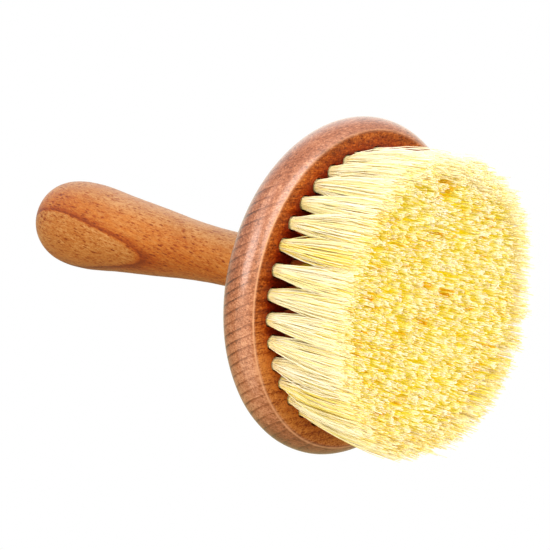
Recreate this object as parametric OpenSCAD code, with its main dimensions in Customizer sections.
// Body dry brush: a round wooden head drilled with rings of blind holes,
// a bristle tuft folded into each hole and held there by a flat wire anchor,
// and a turned wooden handle standing square on the back of the head.
//
// Frame: +Z runs up the handle. The trimmed bristle tips lie in the plane
// z = 0, and the origin is the centre of that plane.

/* [Head] */
// Largest diameter of the head
head_d = 91.8; // [88:0.2:104]
// Radius of the rounded rim
rim_r = 5.94; // [5.6:0.02:6.4]
// Distance from the bristle face up to the widest line of the rim
rim_rise = 5.1; // [4.6:0.1:5.3]
// Radius of the gently domed back
dome_r = 150; // [140:2:170]

/* [Bristles] */
// Free length of the bristles, from the face of the head to the trimmed tips
bristle_len = 26; // [16:0.5:34]
// Diameter of a tuft hole
hole_d = 4.2; // [3.8:0.1:4.4]
// Depth of a tuft hole
hole_depth = 7.2; // [6:0.2:7.4]
// Radius of the outermost ring of tuft holes
outer_ring_r = 36.5; // [36:0.1:38]
// Distance between neighbouring holes along a ring
hole_pitch = 6.2; // [6.1:0.05:6.4]
// Angle of the first tuft of the outermost ring
first_tuft_angle = -17.4; // [-180:0.1:180]
// Diameter of one tuft where it has spread at its tips
tuft_tip_d = 5.9; // [4.4:0.1:5.9]

/* [Anchors] */
// Length of the flat wire anchor across a hole
anchor_len = 5.0; // [4.8:0.1:5.2]
// Height of the anchor strip
anchor_h = 1.6; // [1:0.1:2]
// Thickness of the anchor strip
anchor_t = 0.35; // [0.25:0.05:0.5]
// Height of the folded fibres between the anchor and the blind end of the hole
fold_h = 1.4; // [1:0.1:1.8]

/* [Handle] */
// Length of the handle above the bristle face, tenon not counted
handle_top = 130.6; // [124:0.2:150]
// Diameter of the flared foot where the handle meets the head
foot_d = 22; // [20:0.5:24]
// Diameter of the neck
neck_d = 16.4; // [14:0.2:18]
// Diameter at the waist, the slimmest part
waist_d = 16.1; // [14:0.1:18]
// Diameter at the start of the swell
swell_d = 17.7; // [16:0.1:20]
// Diameter in the middle of the swell
middle_d = 20.7; // [19:0.1:23]
// Diameter where the palm rests
palm_d = 23.6; // [22:0.1:26]
// Largest diameter, just below the rounded end
grip_d = 27.1; // [26:0.1:30]
// Length of the rounded end
end_len = 17.6; // [14:0.2:22]
// How square the rounded end is, where 2 is an ellipse
end_power = 2.7; // [2:0.1:3]

/* [Tenon] */
// Diameter of the tenon turned on the handle's lower end
tenon_d = 12; // [10:0.5:13]
// Length of the tenon
tenon_len = 7; // [5:0.5:7]
// Radial room for the film of glue around the tenon
glue_gap = 0.05; // [0.02:0.01:0.2]

/* [Hidden] */
$fn = 64;

// Head: the rim rounding runs tangent into the dome
face_z = bristle_len;                        // the flat bristle face
rim_z = face_z + rim_rise;                   // centre of the rim rounding
core_r = head_d / 2 - rim_r;
dome_centre_z = rim_z - sqrt(pow(dome_r - rim_r, 2) - pow(core_r, 2));
dome_tilt = asin(core_r / (dome_r - rim_r)); // slope where dome and rim meet
rim_from = -asin(rim_rise / rim_r);
rim_to = 90 - dome_tilt;
rim_steps = 28;
dome_steps = 14;

// Flat seat for the handle's foot, and the mortise for its tenon
seat_r = foot_d / 2 + 0.2;
seat_sink = 0.1;                             // depth of the seat at its edge
seat_z = dome_centre_z + sqrt(pow(dome_r, 2) - pow(seat_r, 2)) - seat_sink;
seat_cut_h = 10;                             // both cuts run clear of the dome
mortise_r = tenon_d / 2 + glue_gap;
mortise_end_gap = 0.2;                       // room below the tenon
mortise_z = seat_z - tenon_len - mortise_end_gap;
mortise_cut_h = 20;

// Holes, tufts and anchors
centre = 6;                                  // ring number of the centre hole
hole_overcut = 1;                            // how far a hole's cut starts below the face
tuft_gap = 0.05;                             // between tuft and hole wall
tuft_end_gap = 0.1;                          // between tuft and blind end
tuft_overlap = 0.2;                          // of a tuft's two parts
anchor_slack = 0.05;                         // room around an anchor
slot_extra = 1;                              // runs a tuft's slot out past its sides
anchor_mid_z = face_z + hole_depth - fold_h - anchor_h / 2;

// Handle: heights are above the bristle face
foot_h = seat_z - face_z;
tenon_lead = 0.6;                            // chamfer at the tenon's tip
bead_chamfer = 0.5;
bead_h = 1.4;
neck_h = 27;                                 // where the cove meets the neck
middle_h = 80;
end_h = handle_top - end_len;                // height of the largest diameter
palm_share = 0.45;                           // palm's place between middle and end_h
cove_steps = 10;
span_steps = 7;
end_steps = 26;

// Rings are numbered inwards: 0 is the outermost.
function ring_r(ring) = outer_ring_r * (1 - ring / centre);
function ring_count(ring) = ring == centre ? 1 : round(2 * PI * ring_r(ring) / hole_pitch);
// Each ring starts a little further round than the one outside it.
function ring_start(ring) = first_tuft_angle + ring * 180 / ring_count(ring);

// Places a child at every hole of a ring, its x axis along the ring.
module at_holes(ring) {
    for (i = [0 : ring_count(ring) - 1])
        rotate(ring_start(ring) + i * 360 / ring_count(ring))
            translate([ring_r(ring), 0, 0])
                rotate(90)
                    children();
}

// A block at anchor height, with the given room above, below and on both faces.
module anchor_block(length, room = 0) {
    translate([0, 0, anchor_mid_z])
        cube([length, anchor_t + 2 * room, anchor_h + 2 * room], center = true);
}

// Turned outline of the head as [radius, z], from the middle of the bristle
// face outwards, round the rim and back over the dome to the middle.
head_outline = concat(
    [[0, face_z]],
    [for (i = [0 : rim_steps])
        let (angle = rim_from + (rim_to - rim_from) * i / rim_steps)
        [core_r + rim_r * cos(angle), i == 0 ? face_z : rim_z + rim_r * sin(angle)]],
    [for (i = [1 : dome_steps])
        let (angle = dome_tilt * (1 - i / dome_steps))
        [dome_r * sin(angle), dome_centre_z + dome_r * cos(angle)]]
);

module head_disc() color([0.80, 0.53, 0.38])
    difference() {
        rotate_extrude($fn = 128) polygon(head_outline);
        translate([0, 0, seat_z]) cylinder(r = seat_r, h = seat_cut_h, $fn = 64);
        translate([0, 0, mortise_z]) cylinder(r = mortise_r, h = mortise_cut_h, $fn = 64);
        for (ring = [0 : centre]) at_holes(ring) {
            translate([0, 0, face_z - hole_overcut])
                cylinder(d = hole_d, h = hole_depth + hole_overcut, $fn = 32);
            anchor_block(anchor_len + 2 * anchor_slack, anchor_slack);
        }
    }

// Stations of the handle from neck to largest diameter: [radius, height]
stations = [
    [neck_d / 2, neck_h],
    [neck_d / 2, 39],
    [waist_d / 2, 52],
    [swell_d / 2, 66],
    [middle_d / 2, middle_h],
    [palm_d / 2, (1 - palm_share) * middle_h + palm_share * end_h],
    [grip_d / 2, end_h]
];
last = len(stations) - 1;

// Change of radius with height at station i, level at both ends of the table.
function slope(i) =
    i == 0 || i == last ? 0 :
    let (rise = stations[i + 1] - stations[i - 1])
    rise[0] / rise[1];

// Point on the cubic curve from station i to the next, at fraction t of the height.
function along(i, t) =
    let (from = stations[i], to = stations[i + 1], span = to[1] - from[1])
    [from[0] * (2 * t * t * t - 3 * t * t + 1)
     + span * slope(i) * (t * t * t - 2 * t * t + t)
     + to[0] * (3 * t * t - 2 * t * t * t)
     + span * slope(i + 1) * (t * t * t - t * t),
     from[1] + span * t];

// Turned outline of the handle as [radius, height], from the tenon's tip upwards
handle_outline = concat(
    // tenon
    [[0, foot_h - tenon_len],
     [tenon_d / 2 - tenon_lead, foot_h - tenon_len],
     [tenon_d / 2, foot_h - tenon_len + tenon_lead],
     [tenon_d / 2, foot_h]],
    // foot bead
    [[foot_d / 2 - bead_chamfer, foot_h],
     [foot_d / 2, foot_h + bead_chamfer],
     [foot_d / 2, foot_h + bead_h]],
    // cove from the foot up to the neck
    [for (i = [1 : cove_steps])
        let (angle = 90 * i / cove_steps)
        [foot_d / 2 - (foot_d - neck_d) / 2 * sin(angle),
         foot_h + bead_h + (neck_h - foot_h - bead_h) * (1 - cos(angle))]],
    // neck, waist and swell
    [for (i = [0 : last - 1]) for (j = [1 : span_steps]) along(i, j / span_steps)],
    // rounded end
    [for (i = [1 : end_steps])
        let (angle = 90 * i / end_steps)
        [i == end_steps ? 0 : grip_d / 2 * pow(cos(angle), 2 / end_power),
         end_h + end_len * pow(sin(angle), 2 / end_power)]]
);

module handle() color([0.76, 0.50, 0.29])
    translate([0, 0, face_z]) rotate_extrude($fn = 128) polygon(handle_outline);

// One tuft: the folded fibres fill the hole, and spread a little from the
// face down to the flat trimmed tips. A slot leaves room for the anchor.
module tuft() {
    root_r = hole_d / 2 - tuft_gap;
    difference() {
        union() {
            translate([0, 0, face_z - tuft_overlap])
                cylinder(r = root_r, h = hole_depth + tuft_overlap - tuft_end_gap, $fn = 32);
            cylinder(r1 = tuft_tip_d / 2, r2 = root_r, h = face_z, $fn = 32);
        }
        anchor_block(hole_d + slot_extra, anchor_slack);
    }
}

module tuft_ring(ring) color([0.97, 0.91, 0.70]) at_holes(ring) tuft();

// Anchors: short strips of flat wire driven across the holes of a ring, their
// two ends biting into the wood.
module anchor_ring(ring) color([0.74, 0.74, 0.71]) at_holes(ring) anchor_block(anchor_len);

head_disc();
handle();
tuft_ring(0);  // tuft_ring_1
tuft_ring(1);  // tuft_ring_2
tuft_ring(2);  // tuft_ring_3
tuft_ring(3);  // tuft_ring_4
tuft_ring(4);  // tuft_ring_5
tuft_ring(5);  // tuft_ring_6
tuft_ring(centre);  // tuft_centre
anchor_ring(0);  // anchor_ring_1
anchor_ring(1);  // anchor_ring_2
anchor_ring(2);  // anchor_ring_3
anchor_ring(3);  // anchor_ring_4
anchor_ring(4);  // anchor_ring_5
anchor_ring(5);  // anchor_ring_6
anchor_ring(centre);  // anchor_centre
